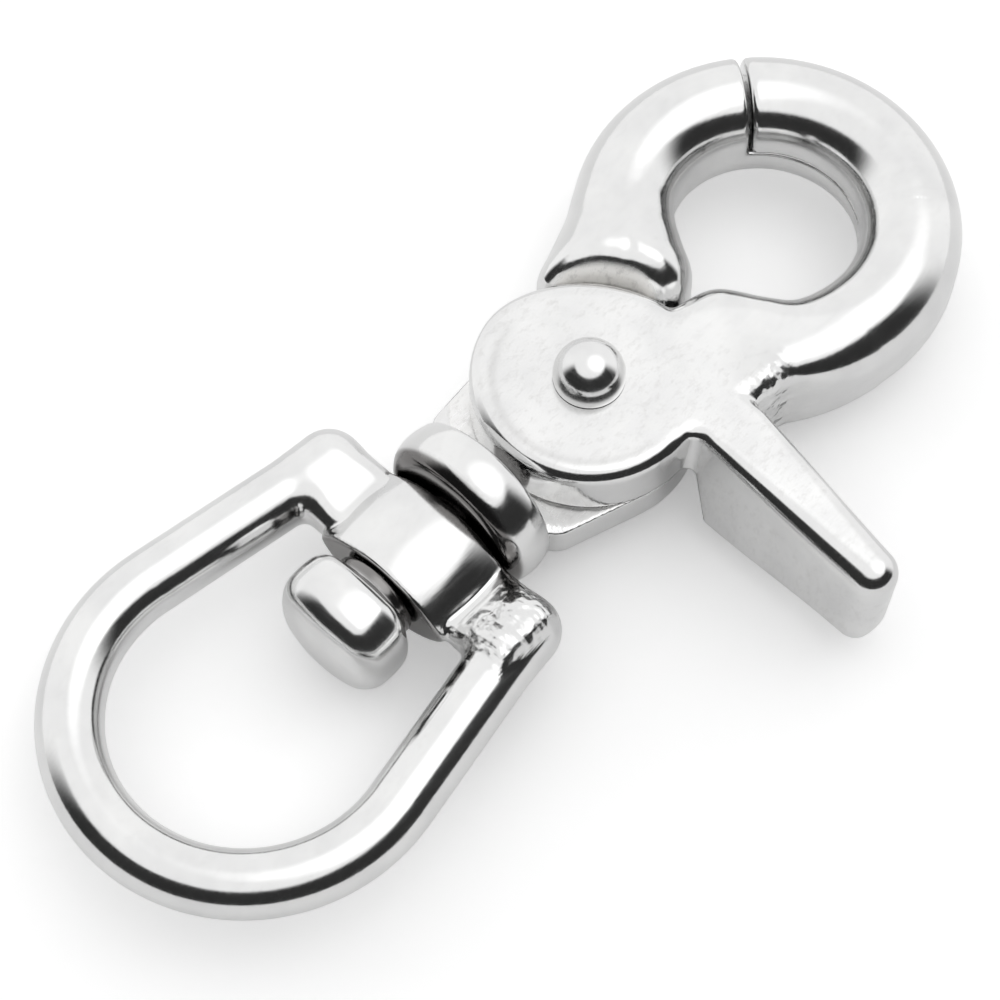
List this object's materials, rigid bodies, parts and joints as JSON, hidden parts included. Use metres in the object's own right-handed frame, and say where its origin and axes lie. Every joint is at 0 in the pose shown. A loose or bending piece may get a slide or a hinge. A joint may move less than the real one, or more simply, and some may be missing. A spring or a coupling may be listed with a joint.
{
  "type": "scissor snap hook",
  "caption": "Scissor snap hook with a swivelling D-shaped eye and two half-lapped jaws that a sprung thumb trigger opens.",
  "frame": {"origin": "centre of the eye's round end, on the swivel axis, in the plane where the two jaws meet", "axes": "+X along the hook from the eye to the jaws, +Z along the pivot towards the rivet's ball head, the trigger towards -Y"},
  "size_m": [0.1106, 0.0555, 0.0188],
  "materials": {
    "cast_steel": "polished",
    "pin_steel": "polished",
    "spring_steel": "drawn"
  },
  "bodies": {
    "body": {"fixed_jaw": "cast_steel", "swivel_pin": "pin_steel", "pivot_rivet": "pin_steel", "torsion_spring": "spring_steel"},
    "jaw": {"moving_jaw": "cast_steel"},
    "eye": {"swivel_eye": "cast_steel"}
  },
  "joints": [
    {"name": "jaw_pivot", "type": "hinge", "parent": "body", "child": "jaw", "pos_m": [0.0446, -0.0011, 0], "axis": [0, 0, 1], "range_deg": [-32, 0], "stiffness_Nm_per_rad": 0.25, "springref_deg": 22.92},
    {"name": "eye_swivel", "type": "hinge", "parent": "body", "child": "eye", "pos_m": [0, 0, 0], "axis": [1, 0, 0], "continuous": true}
  ]
}
